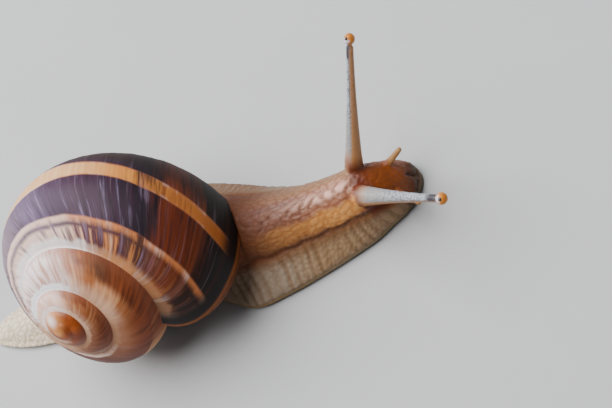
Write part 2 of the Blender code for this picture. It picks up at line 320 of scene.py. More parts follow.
@lru_cache(maxsize=None)
def suture_angle(turn):
    """Where the top of the tube comes out of the whorl before it."""

    def is_inside(around):
        return section_angle(turn - 1, *section_point(turn, around))[1] < 1

    return halve(SUTURE_BETWEEN, is_inside)


@lru_cache(maxsize=None)
def axis_angle(turn):
    """Where the underside of the tube reaches the axis."""
    return halve(AXIS_BETWEEN, lambda around: section_point(turn, around)[0] > 0)


@lru_cache(maxsize=None)
def covered_angle(turn):
    """Where the next whorl lies on the tube."""
    return section_angle(turn, *section_point(turn + 1, suture_angle(turn + 1)))[0]


def lip_lag(around):
    """How far the lip lags behind at an angle round the tube, in turns."""
    start = suture_angle(0)
    sweep = math.cos(around - LIP_SWEEP_CENTRE) - math.cos(start - LIP_SWEEP_CENTRE)
    return LIP_SWEEP * sweep + LIP_REACH * eased((around - start) / LIP_REACH_OVER)


def growth_relief(age, around):
    """The height that ridges and pauses of growth add, in mm on the last whorl."""
    height = 0
    for a_turn, high in GROWTH_RIDGES:
        height += high * noise.noise(Vector((age * a_turn, around * 0.7, a_turn)))
    for pause, high in GROWTH_PAUSES:
        wander = PAUSE_WANDER * noise.noise(Vector((around * 2, pause * 50, 0)))
        height += high * math.exp(-(((age - pause - wander) / PAUSE_WIDTH) ** 2))
    return height


def shell_point(turn, around, relief=0):
    """A point of the shell and its mark on the growth map."""
    turn -= lip_lag(around) * eased((turn + LIP_BLEND) / LIP_BLEND)
    age = turn + lip_lag(around)
    swell = growth_relief(age, around) * relief if relief else 0
    radius, depth = section_point(turn, around, swell)
    depth -= TIP_RISE * (1 - min(abs(radius) / TIP_ROUND, 1) ** 2) ** 2 * eased(-turn - 2)
    mark = (1 + age / AGE_SPAN, (around - AROUND_START) / AROUND_SPAN)
    return place_round_axis(turn, max(radius, 0), depth), mark


def band_point(u, v):
    """The part of each whorl that shows above the next one."""
    turn = -WHORLS * (1 - u)
    start, end = suture_angle(turn), covered_angle(turn)
    relief = eased(v * SUTURE_FADE) * eased((1 - v) * SUTURE_FADE)
    point, mark = shell_point(turn, start + (end - start) * v, relief)
    if v > 1 - WELD and turn < -1:
        point = shell_point(turn + 1, suture_angle(turn + 1))[0]
    return point, mark


def base_point(u, v):
    """The underside of the last whorl, from the line of the suture to the axis."""
    turn = u - 1
    start = covered_angle(turn)
    around = start + (axis_angle(turn) - start) * v
    relief = eased(v * SUTURE_FADE) * eased((1 - v) * AXIS_FADE) * eased(u * BASE_FADE)
    return shell_point(turn, around, relief)


def marked_grid(bm, columns, rows, place):
    """A bent grid whose corners keep their marks on the growth map."""
    layer = bm.loops.layers.uv.get("growth") or bm.loops.layers.uv.new("growth")
    marks = {}

    def place_and_mark(u, v):
        point, mark = place(u, v)
        marks[point.to_tuple(6)] = mark
        return point

    verts = bent_grid(bm, columns, rows, place_and_mark)
    for vert in verts:
        mark = marks[vert.co.to_tuple(6)]
        for loop in vert.link_loops:
            loop[layer].uv = mark


def shell_pose():
    """The move that seats the shell, which is wound about its own axis, on the body."""
    turned = Matrix.Rotation(SHELL_HEADING, 4, "Z") @ Matrix.Rotation(SHELL_TILT, 4, "Y")
    return Matrix.Translation(SHELL_TIP) @ turned @ Matrix.Rotation(SHELL_SPIN, 4, "Z")


def hole_loops(bm):
    """The open edges of a mesh, sorted into loops."""
    left = {edge for edge in bm.edges if edge.is_boundary}
    loops = []
    while left:
        found = [left.pop()]
        for edge in found:
            near = {other for vert in edge.verts for other in vert.link_edges} & left
            left -= near
            found.extend(near)
        loops.append(found)
    return loops


def grow_shell():
    """The shell, wound from its whorls and its base, with a closed tip and a rim."""
    bm = bmesh.new()
    marked_grid(bm, round(WHORLS * STEPS_A_TURN), BAND_STRIPS, band_point)
    marked_grid(bm, STEPS_A_TURN, BASE_STRIPS, base_point)
    bmesh.ops.remove_doubles(bm, verts=bm.verts, dist=WELD / MM)
    tip, mouth = sorted(hole_loops(bm), key=lambda loop: loop[0].verts[0].co.length)
    top = bmesh.ops.holes_fill(bm, edges=tip)["faces"]
    centre = bmesh.ops.poke(bm, faces=top)["verts"][0]
    centre.co = Vector((0, 0, TIP_DOME + TIP_RISE))
    add_rim(bm, mouth)
    bmesh.ops.recalc_face_normals(bm, faces=bm.faces)
    bmesh.ops.transform(bm, matrix=shell_pose(), verts=bm.verts)
    return bm


def mouth_outline(v):
    """The lip round the mouth, closed by a straight side against the whorl before."""
    suture, axis = suture_angle(0), axis_angle(0)
    if v < LIP_SHARE:
        return shell_point(0, suture + (axis - suture) * v / LIP_SHARE)[0]
    side = (v - LIP_SHARE) / (1 - LIP_SHARE)
    return shell_point(0, axis)[0].lerp(shell_point(0, suture)[0], side)


@lru_cache(maxsize=None)
def mouth_facing():
    """The middle of the mouth and the way it looks, before the shell is posed."""
    outline = [mouth_outline(i / COLLAR_FACES) for i in range(COLLAR_FACES)]
    centre = sum(outline, Vector()) / COLLAR_FACES
    facing = Vector()
    for i, point in enumerate(outline):
        facing += (point - centre).cross(outline[i - 1] - centre)
    facing.normalize()
    if facing.y > 0:
        facing.negate()
    return centre, facing


def hinge_room(point):
    """How deep the mouth can be at a point, from 0 next to its hinge on the axis to 1."""
    hinge = shell_point(0, axis_angle(0))[0]
    return eased(((point - hinge).length - HINGE_SHALLOW) / HINGE_REACH)


def add_rim(bm, mouth):
    """The lip's rounded edge and the wall behind it, closed where the collar hides it."""
    centre, facing = mouth_facing()
    layer = bm.loops.layers.uv["growth"]
    edges = mouth
    last = (0, 0)
    for step in RIM_STEPS:
        made = bmesh.ops.extrude_edge_only(bm, edges=edges)["geom"]
        for face in made:
            if isinstance(face, bmesh.types.BMFace):
                for loop in face.loops:
                    loop[layer].uv = (1 + step[0] / AGE_SPAN, 0.5)
        edges = [item for item in made if isinstance(item, bmesh.types.BMEdge)]
        for vert in {vert for edge in edges for vert in edge.verts}:
            inward = centre - vert.co
            inward -= facing * inward.dot(facing)
            deeper = (step[1] - last[1]) * hinge_room(vert.co)
            vert.co += inward.normalized() * (step[0] - last[0]) - facing * deeper
        edges = [edge for edge in edges if edge.is_boundary]
        last = step
    bmesh.ops.triangulate(bm, faces=bmesh.ops.holes_fill(bm, edges=edges)["faces"])


# Materials


def paint(red, green, blue):
    """A colour as the eye names it, from 0 to 1, turned into the light that it reflects."""
    seen = (red, green, blue)
    return tuple(c / 12.92 if c < 0.04045 else ((c + 0.055) / 1.055) ** 2.4 for c in seen)


class Value:
    """A socket whose sums and products with others add their Math nodes."""

    def __init__(self, finish, socket):
        self.finish = finish
        self.socket = socket

    def math(self, operation, *values):
        return self.finish.node("Math", {"operation": operation}, dict(enumerate(values)))

    def __add__(self, other):
        return self.math("ADD", self, other)

    def __sub__(self, other):
        return self.math("SUBTRACT", self, other)

    def __rsub__(self, other):
        return self.math("SUBTRACT", other, self)

    def __mul__(self, other):
        return self.math("MULTIPLY", self, other)

    __radd__ = __add__
    __rmul__ = __mul__

    def absolute(self):
        return self.math("ABSOLUTE", self)

    def cosine(self):
        return self.math("COSINE", self)

    def higher(self, other):
        return self.math("MAXIMUM", self, other)

    def rise(self, low, high):
        """0 below low, 1 above high, and smooth between them; low may be the higher one."""
        inputs = {"Value": self, "From Min": low, "From Max": high}
        return self.finish.node("MapRange", {"interpolation_type": "SMOOTHSTEP"}, inputs)

    def band(self, low, high, soft):
        """1 from low to high, fading over soft at both sides."""
        return self.rise(low - soft, low + soft) * self.rise(high + soft, high - soft)

    def near(self, middle, width):
        """1 at a middle value, fading to 0 over a width on both sides of it."""
        return (self - middle).absolute().rise(width, 0)


class Finish:
    """A material and the nodes that feed its shader."""

    def __init__(self, name, **constants):
        self.material = bpy.data.materials.new(name)
        self.material.use_nodes = True
        self.tree = self.material.node_tree
        self.shader = self.tree.nodes["Principled BSDF"]
        for socket, value in constants.items():
            self.shader.inputs[socket.replace("_", " ")].default_value = value

    def node(self, kind, settings=None, inputs=None, output=0):
        made = self.tree.nodes.new("ShaderNode" + kind)
        for name, value in (settings or {}).items():
            setattr(made, name, value)
        for socket, value in (inputs or {}).items():
            self.feed(made.inputs[socket], value)
        return Value(self, made.outputs[output])

    def feed(self, socket, value):
        if isinstance(value, Value):
            self.tree.links.new(value.socket, socket)
        elif isinstance(value, tuple) and socket.type == "RGBA":
            socket.default_value = (*value, 1)
        else:
            socket.default_value = value

    def set(self, **values):
        for socket, value in values.items():
            self.feed(self.shader.inputs[socket.replace("_", " ")], value)

    def attribute(self, name):
        return self.node("Attribute", {"attribute_name": name}, output="Fac")

    def away(self, place, point):
        """How far a place lies from a point, in mm."""
        settings = {"operation": "DISTANCE"}
        return self.node("VectorMath", settings, {0: place, 1: tuple(point)}, "Value") * TO_MM

    def parts(self, vector):
        split = self.node("SeparateXYZ", None, {0: vector})
        return [Value(self, socket) for socket in split.socket.node.outputs]

    def place(self, x, y, z=0):
        return self.node("CombineXYZ", None, {0: x, 1: y, 2: z})

    def speckle(self, vector, scale, detail=2, roughness=0.5):
        inputs = {"Vector": vector, "Scale": scale, "Detail": detail, "Roughness": roughness}
        return self.node("TexNoise", None, inputs)

    def mix(self, share, first, second, blend="MIX"):
        settings = {"data_type": "RGBA", "blend_type": blend}
        return self.node("Mix", settings, {0: share, 6: first, 7: second}, output=2)

    def bump(self, height, distance, strength=1, normal=None):
        inputs = {"Height": height, "Distance": distance, "Strength": strength}
        if normal:
            inputs["Normal"] = normal
        return self.node("Bump", None, inputs)


class ShellFinish(Finish):
    """Satin brown shell: its bands, flames and lines of growth follow the growth map."""

    def __init__(self):
        super().__init__("banded_shell", Specular_IOR_Level=0.2, Coat_Roughness=0.22)
        mark = self.parts(self.node("UVMap", {"uv_map": "growth"}))
        age = (mark[0] - 1) * AGE_SPAN
        around = mark[1] * AROUND_SPAN + AROUND_START
        self.age = age
        self.around = around
        self.object_place = self.node("TexCoord", output="Object")

        # Lines of growth, fine and broad, drawn out round the tube, and soft clouds.
        self.fine = self.speckle(self.place(age * 230, around * 0.9), 1, 3)
        self.broad = self.speckle(self.place(age * 62, around * 0.3, 4), 1, 4, 0.65)
        self.flame = self.speckle(self.place(age * 100, around * 0.9, 9), 1, 3, 0.6)
        self.wander = (self.speckle(self.place(age * 14, around * 0.6, 2), 1, 2) - 0.5) * 0.1
        self.patch = self.speckle(self.place(age * 13, around * 1.1, 6), 1, 3)
        self.cloud = self.speckle(self.object_place, 260, 3)
        self.ragged = age + (self.broad - 0.5) * 0.06 + (self.flame - 0.5) * 0.1

        # The upper bands drift towards the suture on the older part.
        self.lane = around - age * 0.6 + self.wander
        # One side of every whorl is paler: partly real wear, partly painted light on the side that
        # faces the light.
        self.worn_and_lit = ((self.ragged + 0.42) * (2 * math.pi)).cosine().rise(0.2, 0.7)

    def last_ground(self):
        """The ground of the last whorl: cream, then orange-brown to the lip."""
        ragged = self.ragged
        ground = self.mix(ragged.rise(-0.32, -0.22), paint(0.9, 0.76, 0.69), paint(0.74, 0.46, 0.26))
        ground = self.mix(ragged.rise(-0.17, -0.11), ground, paint(0.55, 0.31, 0.16))
        ground = self.mix(ragged.rise(-0.09, -0.06) * 0.7, ground, paint(0.22, 0.1, 0.06))
        edge_line = self.lane.rise(-1.55, -1.47) * ragged.rise(-0.4, -0.2)
        ground = self.mix(edge_line * 0.7, ground, paint(0.78, 0.46, 0.26))
        return self.mix(self.broad.rise(0.5, 0.7) * 0.45, ground, paint(0.86, 0.8, 0.76))

    def last_pigment(self):
        """Its dark pigment: plum, then near black, then red-brown, then black to the lip; the paler
        lilac plum is partly painted sky sheen.
        """
        age, around, flame = self.age, self.around, self.flame
        dark = paint(0.42, 0.2, 0.1)
        # The paler plum on the older part is partly painted sky sheen on the side that faces the
        # light.
        for low, high, colour in (
            (-0.67, -0.54, paint(0.5, 0.42, 0.45)),
            (-0.46, -0.34, paint(0.35, 0.27, 0.37)),
            (-0.34, -0.25, paint(0.22, 0.12, 0.19)),
            (-0.21, -0.16, paint(0.13, 0.09, 0.12)),
            (-0.15, -0.09, paint(0.38, 0.15, 0.05)),
            (-0.1, -0.045, paint(0.08, 0.03, 0.015)),
        ):
            dark = self.mix((self.ragged + (self.patch - 0.5) * 0.08).rise(low, high), dark, colour)
        # Lilac streaks: partly real streaks, partly painted sky sheen.
        dark = self.mix(self.fine.rise(0.55, 0.75) * 0.3, dark, paint(0.5, 0.42, 0.46))
        lilac_sheen_streaks = flame.rise(0.54, 0.7) * age.rise(-0.1, -0.16) * 0.5
        dark = self.mix(lilac_sheen_streaks, dark, paint(0.52, 0.45, 0.55))
        rusty_streaks = self.broad.rise(0.5, 0.68) * age.rise(-0.14, -0.09) * 0.35
        dark = self.mix(rusty_streaks, dark, paint(0.62, 0.28, 0.1))
        dark = self.mix(flame.rise(0.5, 0.25) * 0.8, dark, paint(0.07, 0.04, 0.05))
        dark = self.mix(around.rise(-0.62, -0.35) * 0.55, dark, paint(0.07, 0.04, 0.03))
        below = around.rise(-0.62, -0.2) * age.rise(-0.12, -0.25)
        brown = self.mix(flame, paint(0.11, 0.05, 0.03), paint(0.3, 0.17, 0.1))
        return self.mix(below * 0.75, dark, brown)

    def pale_band(self):
        """The pale band round the outside of the last whorl, darker where growth paused."""
        age, ragged = self.age, self.ragged
        band = self.mix(age.rise(-0.27, -0.17), paint(0.86, 0.67, 0.47), paint(0.8, 0.51, 0.21))
        band = self.mix(age.rise(-0.17, -0.04) * 0.75, band, paint(0.54, 0.25, 0.06))
        band = self.mix(self.fine.rise(0.6, 0.4) * 0.25, band, paint(0.66, 0.36, 0.16))
        pause = ragged.near(-0.125, 0.016).higher(ragged.near(-0.105, 0.008) * 0.6)
        return self.mix(pause * 0.75, band, paint(0.4, 0.16, 0.08))

    def last_whorl(self):
        """The pigment over the ground: a main band, a thin one above it, streaks and the base."""
        age, around, ragged, lane = self.age, self.around, self.ragged, self.lane
        outside = around + self.wander * 0.6 + age.rise(-0.18, -0.42) * 0.32
        inner_edge = around + self.wander * 0.5 + age.rise(-0.22, 0) * 0.07
        main_band = lane.rise(-1.45, -1.4) * outside.rise(-0.83, -0.87)
        thin_band = lane.near(-1.56, 0.085) * self.broad.rise(0.28, 0.42) * 0.9
        streaks = (self.flame + age.rise(-0.4, -0.12) * 0.2).rise(0.5, 0.68)
        streaks = streaks * lane.rise(-1.98, -1.8) * lane.rise(-1.42, -1.56) * 0.9
        crossing = ragged.near(-0.155, 0.03) * lane.rise(-2.0, -1.85) * 0.9
        base = inner_edge.rise(-0.62, -0.56)
        cover = (main_band + base).higher(thin_band).higher(streaks).higher(crossing)
        outer_band = outside.rise(-0.88, -0.8) * inner_edge.rise(-0.57, -0.65)
        shade = self.mix(outer_band, self.last_ground(), self.pale_band())
        return self.mix(cover, shade, self.last_pigment())

    def older_whorls(self):
        """The whorls before: pinkish cream on the paler side, partly wear and partly painted light;
        brown with patches on the other, partly painted shade.
        """
        age, around, ragged, flame = self.age, self.around, self.ragged, self.flame
        # The side away from the light: brown patches, partly pigment and partly painted shade.
        dusky_shaded_side = ((ragged + 0.94) * (2 * math.pi)).cosine().rise(0.55, 0.95)
        comb = flame * 0.6 + self.patch * 0.4
        tan = self.mix(comb.rise(0.38, 0.62), paint(0.58, 0.33, 0.17), paint(0.8, 0.57, 0.4))
        by_suture = around.rise(-1.6, -2.0) * (0.5 - dusky_shaded_side * 0.1)
        tan = self.mix(by_suture, tan, paint(0.82, 0.68, 0.58))
        tan = self.mix(dusky_shaded_side * 0.7, tan, paint(0.5, 0.24, 0.08))
        brown = self.mix(flame.rise(0.3, 0.6), paint(0.24, 0.08, 0.03), paint(0.5, 0.22, 0.08))
        mottled = (self.patch + ragged.rise(-1.2, -0.95) * 0.25).rise(0.36, 0.54)
        patches = (around.rise(-1.62, -1.36) * mottled).higher(dusky_shaded_side * around.rise(-1.85, -1.4))
        old = self.mix(patches * 0.9, tan, brown)
        blot = age.near(-1.16, 0.06) * around.rise(-1.6, -1.35) * flame.rise(0.3, 0.5)
        old = self.mix(blot * 0.8, old, paint(0.22, 0.11, 0.06))
        # Painted shade, with some real brown, on the older whorls' side away from the light.
        unworn_and_shaded = age.rise(-1.7, -1.95) * self.worn_and_lit.rise(0.3, 0) * 0.35
        old = self.mix(unworn_and_shaded, old, paint(0.4, 0.17, 0.06))
        # The cream of the paler side: partly wear, partly painted light.
        cream = self.mix(comb.rise(0.36, 0.6), paint(0.7, 0.52, 0.45), paint(0.9, 0.84, 0.83))
        cream = self.mix(age.rise(-1.85, -2.2) * 0.6, cream, paint(0.87, 0.69, 0.6))
        old = self.mix(self.worn_and_lit * 0.92, old, cream)
        # Painted shade in the crease where the next whorl covers this one.
        suture_crease_shade = (around - age * EDGE_SHIFT + EDGE_START).rise(-0.35, -0.05)
        return self.mix(suture_crease_shade * 0.4, old, paint(0.55, 0.33, 0.24))

    def with_suture_line(self, colour):
        """The pale line along the suture, whitest on the paler side, where it is partly painted light.
        """
        age, worn_and_lit = self.age, self.worn_and_lit
        line = (self.around + (self.broad - 0.5) * 0.35).rise(-1.94, -2.02)
        pale = self.mix(worn_and_lit, paint(0.78, 0.6, 0.44), paint(0.98, 0.97, 0.97))
        pale = self.mix(age.rise(-1.85, -2.2) * 0.6, pale, paint(0.9, 0.76, 0.67))
        shown = worn_and_lit * (0.6 - age.rise(-0.7, -0.5) * 0.2) + age.band(-2.9, -1.9, 0.1) * 0.3
        return self.mix(line * (0.25 + shown), colour, pale)

    def amber_tip(self):
        """The first whorls: amber, paler round the apex, with a painted highlight at one spot."""
        amber = self.mix(self.cloud.rise(0.35, 0.7), paint(0.45, 0.18, 0.02), paint(0.6, 0.28, 0.04))
        amber = self.mix(self.age.near(-2.98, 0.12) * 0.7, amber, paint(0.4, 0.14, 0.02))
        top = shell_pose() @ Vector((0, 0, TIP_DOME + TIP_RISE))
        from_top = self.away(self.object_place, top * MM) + self.cloud
        amber = self.mix(from_top.rise(2.1, 0.7) * 0.75, amber, paint(0.84, 0.58, 0.33))
        # A painted highlight: a soft pale glow round one spot of the tip, with a near-white core.
        spot = shell_pose() @ shell_point(*GLINT_SPOT)[0]
        from_glint = self.away(self.object_place, spot * MM) + self.cloud
        amber = self.mix(from_glint.rise(3.8, 1.5) * 0.7, amber, paint(0.82, 0.54, 0.32))
        return self.mix(from_glint.rise(2.2, 0.6) * 0.85, amber, paint(0.96, 0.88, 0.84))

    def with_lip(self, colour):
        """The dark edge and the brown rim of the lip, and the pale wall inside it."""
        by_lip = (self.age + (self.broad - 0.5) * 0.02).rise(-0.045, -0.014)
        colour = self.mix(by_lip, colour, paint(0.07, 0.04, 0.03))
        colour = self.mix(self.age.rise(-0.007, -0.002), colour, paint(0.5, 0.27, 0.1))
        return self.mix(self.age.rise(0.35, 0.6), colour, paint(0.74, 0.6, 0.48))


def shell_finish():
    finish = ShellFinish()
    last = (finish.ragged + finish.wander).rise(-0.97, -0.83)
    colour = finish.mix(last, finish.older_whorls(), finish.last_whorl())
    colour = finish.with_suture_line(colour)
    tip = (finish.age + finish.wander * 0.3).rise(-2.83, -2.91)
    colour = finish.mix(tip, colour, finish.amber_tip())
    colour = finish.with_lip(colour)
    fine = finish.fine
    lines = finish.bump(fine, 0.00006, 0.5)
    relief = finish.bump(finish.speckle(finish.object_place, 2600, 2), 0.00002, 0.3, lines)
    finish.set(
        Base_Color=colour,
        Roughness=0.42 + fine * 0.14 + finish.cloud * 0.08 + finish.around.rise(-0.9, -0.4) * 0.2,
        Coat_Weight=0.04 + tip * 0.25,
        Normal=relief,
    )
    return finish.material


# The flesh


def body_turn(x):
    """Rings crowd towards both ends, so that the ends come out round."""
    return math.acos((TAIL_TIP + SNOUT - 2 * x) / (SNOUT - TAIL_TIP)) / math.pi


@lru_cache(maxsize=None)
def body_sizes(u):
    """The sizes of the body at a place along it, on a smooth curve."""
    knots = [body_turn(row[0]) for row in BODY]
    last = len(BODY) - 2
    i = min(sum(knot <= u for knot in knots[1:]), last)
    before, after = max(i - 1, 0), min(i + 2, last + 1)
    span = knots[i + 1] - knots[i]
    t = (u - knots[i]) / span
    sizes = []
    for column in range(1, len(BODY[0])):
        start, end = BODY[i][column], BODY[i + 1][column]
        rise_in = (end - BODY[before][column]) / (knots[i + 1] - knots[before]) * span
        rise_out = (BODY[after][column] - start) / (knots[after] - knots[i]) * span
        sizes.append(
            start * (1 + 2 * t) * (1 - t) ** 2
            + end * t * t * (3 - 2 * t)
            + rise_in * t * (1 - t) ** 2
            - rise_out * t * t * (1 - t)
        )
    return sizes


def body_x(u):
    """Where a ring of the body lies along it, the other way round from body_turn."""
    return TAIL_TIP + (SNOUT - TAIL_TIP) * (1 - math.cos(math.pi * u)) / 2


def body_point(u, v):
    """A point of the body: over the back for the first rows, across the flat sole for the last."""
    sole, sole_shift, back, back_shift, height = body_sizes(u)
    edge = min(MARGIN, height / 2)
    step = v % 1 * (BACK_FACES + SOLE_FACES)
    if step > BACK_FACES + 0.5:
        across = 2 * (step - BACK_FACES - 1) / (SOLE_FACES - 2) - 1
        return Vector((body_x(u), sole_shift + across * max(sole - edge / 2, 0), 0))
    arc = math.pi * step / BACK_FACES
    side = math.cos(arc)
    flare = abs(side) ** MARGIN_FLARE
    margin = sole_shift + math.copysign(sole, side)
    rise = max(math.sin(arc), 0) ** BACK_ROUND
    y = (back_shift + back * side) * (1 - flare) + margin * flare
    return Vector((body_x(u), y, edge + (height - edge) * rise))


def loft(columns, rows, place):
    """A loft whose rows close round and whose ends draw in to points."""
    bm = bmesh.new()
    bent_grid(bm, columns, rows, place)
    bmesh.ops.remove_doubles(bm, verts=bm.verts, dist=WELD / MM)
    bmesh.ops.recalc_face_normals(bm, faces=bm.faces)
    return bm


def collar():
    """The cushion of the mantle that fills the mouth of the shell."""
    centre, facing = mouth_facing()

    def place(u, v):
        at = u * (len(COLLAR_RINGS) - 1)
        i = min(int(at), len(COLLAR_RINGS) - 2)
        (share, below), (next_share, next_below) = COLLAR_RINGS[i], COLLAR_RINGS[i + 1]
        share += (next_share - share) * (at - i)
        below += (next_below - below) * (at - i)
        spot = centre + (mouth_outline(v % 1) - centre) * share
        if below < 0:
            below *= hinge_room(spot)
        return spot + facing * below

    bm = loft(4 * (len(COLLAR_RINGS) - 1), COLLAR_FACES, place)
    bmesh.ops.transform(bm, matrix=shell_pose(), verts=bm.verts)
    return bm


def stalk(root, tip, radii, end, rings=40, faces=32):
    """A round stalk with a domed end, that thins out fastest near its root."""
    root, tip = Vector(root), Vector(tip)
    along = tip - root
    side = along.cross(Vector((0, 0, 1))).normalized()
    up = side.cross(along).normalized()

    def place(u, v):
        share = end * u
        flare = (1 - share) ** STALK_FLARE
        radius = radii[1] + (radii[0] - radii[1]) * flare
        left = (end - share) * along.length
        if left < radius:
            radius = math.sqrt(max(radius**2 - (radius - left) ** 2, 0))
        turn = 2 * math.pi * v
        round_it = side * math.cos(turn) + up * math.sin(turn)
        return root + along * share + round_it * (radius if u > 0 else 0)

    return loft(rings, faces, place)


def ball(centre, sizes, along=(0, 0, 1), rings=24):
    """A ball, or an egg with the half-lengths given, its third one along a direction."""
    bm = bmesh.new()
    bmesh.ops.create_uvsphere(bm, u_segments=2 * rings, v_segments=rings, radius=1)
    bmesh.ops.scale(bm, vec=sizes, verts=bm.verts)
    turned = Vector((0, 0, 1)).rotation_difference(Vector(along)).to_matrix().to_4x4()
    bmesh.ops.transform(bm, matrix=Matrix.Translation(centre) @ turned, verts=bm.verts)
    return bm


def bulb_axis(side):
    """The centre of a long tentacle's bulb, and the way that the tentacle points."""
    root, tip, _ = LONG_TENTACLES[side]
    along = (Vector(tip) - Vector(root)).normalized()
    return Vector(tip) - along * BULBS[side][0], along


def eye_centre(side):
    look = Vector(LONG_TENTACLES[side][2]).normalized()
    return bulb_axis(side)[0] + look * (BULBS[side][1] - EYE_DEPTH)


def flesh_forms():
    """Every form of the flesh, each closed, overlapping where they join."""
    forms = [loft(BODY_RINGS, BACK_FACES + SOLE_FACES, body_point), collar()]
    for side in ("left", "right"):
        root, tip, _ = LONG_TENTACLES[side]
        centre, along = bulb_axis(side)
        forms.append(stalk(root, tip, LONG_RADII[side], LONG_TOP))
        long, wide = BULBS[side]
        forms.append(ball(centre, (wide, wide, long), along))
        root, tip = SHORT_TENTACLES[side]
        forms.append(stalk(root, tip, SHORT_RADII, 1, 20, 24))
    for centre, sizes in LIP_LOBES:
        forms.append(ball(centre, sizes))
    return forms


def fuse(forms, voxel):
    """One closed mesh, in millimetres, over forms that overlap."""
    whole = bpy.data.meshes.new("flesh_forms")
    together = bmesh.new()
    for form in forms:
        form.to_mesh(whole)
        together.from_mesh(whole)
        form.free()
    together.to_mesh(whole)
    together.free()
    lump = bpy.data.objects.new("flesh_forms", whole)
    bpy.context.scene.collection.objects.link(lump)
    remesh = lump.modifiers.new("remesh", "REMESH")
    remesh.mode = "VOXEL"
    remesh.voxel_size = voxel
    graph = bpy.context.evaluated_depsgraph_get()
    fused = bpy.data.meshes.new_from_object(lump.evaluated_get(graph))
    bpy.data.objects.remove(lump)
    bpy.data.meshes.remove(whole)
    return fused


def lift(x, low, high):
    """An eased rise from 0 to 1 over an array; low may be the higher one."""
    share = np.clip((x - low) / (high - low), 0, 1)
    return share * share * (3 - 2 * share)


def between(x, low, high, soft):
    """1 from low to high over an array, fading at both sides."""
    return lift(x, low - soft, low + soft) * lift(x, high + soft, high - soft)


def scatter(column, row, seed):
    """A number from 0 to 1 for each place of a grid, the same on every run."""
    mixed = np.sin(column * 127.1 + row * 311.7 + seed * 74.7) * 43758.5453
    return mixed - np.floor(mixed)


def cobbles(along, across, length, width, seed):
    """Bumps set close like cobbles: how high, from 0 in the furrows to 1, and a number each."""
    u, v = along / length, across / width
    nearest = np.full(u.shape, 9.0)
    second = np.full(u.shape, 9.0)
    tone = np.zeros(u.shape)
    for row_step in (-1, 0, 1):
        row = np.floor(v) + row_step
        shift = 0.5 * (row % 2)
        for column_step in (-1, 0, 1):
            column = np.floor(u - shift) + column_step
            away_u = column + 0.5 + shift + 0.85 * (scatter(column, row, seed) - 0.5) - u
            away_v = row + 0.5 + 0.75 * (scatter(column, row, seed + 1) - 0.5) - v
            away = np.hypot(away_u, away_v)
            closer = away < nearest
            second = np.where(closer, nearest, np.minimum(second, away))
            tone = np.where(closer, scatter(column, row, seed + 2), tone)
            nearest = np.where(closer, away, nearest)
    return lift(second - nearest, 0, 0.5) * (1 - 0.35 * nearest**2), tone


def mesh_vectors(mesh, name):
    """A vector of each vertex, such as its place or its normal, as rows of an array."""
    values = np.empty(len(mesh.vertices) * 3)
    mesh.vertices.foreach_get(name, values)
    return values.reshape(-1, 3)


def store(mesh, name, values):
    """Values kept on the vertices, where the skin's colours read them."""
    layer = mesh.attributes.new(name, "FLOAT", "POINT")
    layer.data.foreach_set("value", values.astype(np.float32))


def smooth_out(points, edges, weight, times):
    """Each point drawn towards the mean of its neighbours, by its weight."""
    count = np.bincount(edges.ravel(), minlength=len(points))[:, None]
    for _ in range(times):
        total = np.zeros_like(points)
        for start, end in ((0, 1), (1, 0)):
            for axis in range(3):
                values = points[edges[:, end], axis]
                total[:, axis] += np.bincount(edges[:, start], values, len(points))
        points = points + (total / count - points) * weight[:, None]
    return points


def stalk_share(points, root, tip):
    """How far along a stalk each point lies, and how far from its middle line."""
    root, along = np.array(root), np.array(tip) - np.array(root)
    share = (points - root) @ along / (along @ along)
    away = np.linalg.norm(points - root - np.clip(share, 0, 1)[:, None] * along, axis=1)
    return share, away


def body_table():
    """Body sizes and the length over the back, at many places along X."""
    steps = [i / TABLE_STEPS for i in range(TABLE_STEPS + 1)]
    xs = np.array([body_x(u) for u in steps])
    sizes = np.array([body_sizes(u) for u in steps])
    run = np.concatenate([[0], np.cumsum(np.hypot(np.diff(xs), np.diff(sizes[:, 4])))])
    return xs, sizes, run


def mark_tentacles(points):
    """How far each point belongs to each part of the tentacles, from 0 to 1."""
    names = ("slender", "reach", "bulb", "feeler", "eye_glint")
    marks = {name: np.zeros(len(points)) for name in names}
    for side in ("left", "right"):
        root, tip, _ = LONG_TENTACLES[side]
        share, away = stalk_share(points, root, tip)
        thick, thin = LONG_RADII[side]
        radius = thin + (thick - thin) * (1 - np.clip(share, 0, 1)) ** STALK_FLARE
        on_stalk = lift(share, *STALK_STARTS) * lift(away - radius, *STALK_ROUND)
        marks["slender"] = np.maximum(marks["slender"], on_stalk)
        marks["reach"] = np.where(on_stalk > 0.01, share, marks["reach"])
        centre, ahead = bulb_axis(side)
        from_bulb = np.linalg.norm(points - np.array(centre), axis=1)
        marks["bulb"] = np.maximum(marks["bulb"], lift(from_bulb, *BULB_ROUND))
        # A painted glint round each eye, on its side towards the stalk.
        from_eye = points - np.array(eye_centre(side))
        behind = lift(-from_eye @ np.array(ahead), 0.05, 0.3)
        glint_round_eye = lift(np.linalg.norm(from_eye, axis=1), *EYE_GLINT_ROUND) * behind
        marks["eye_glint"] = np.maximum(marks["eye_glint"], glint_round_eye)
        root, tip = SHORT_TENTACLES[side]
        share, away = stalk_share(points, root, tip)
        on_feeler = lift(share, *FEELER_STARTS) * lift(away, *FEELER_ROUND)
        marks["feeler"] = np.maximum(marks["feeler"], on_feeler)
    return marks


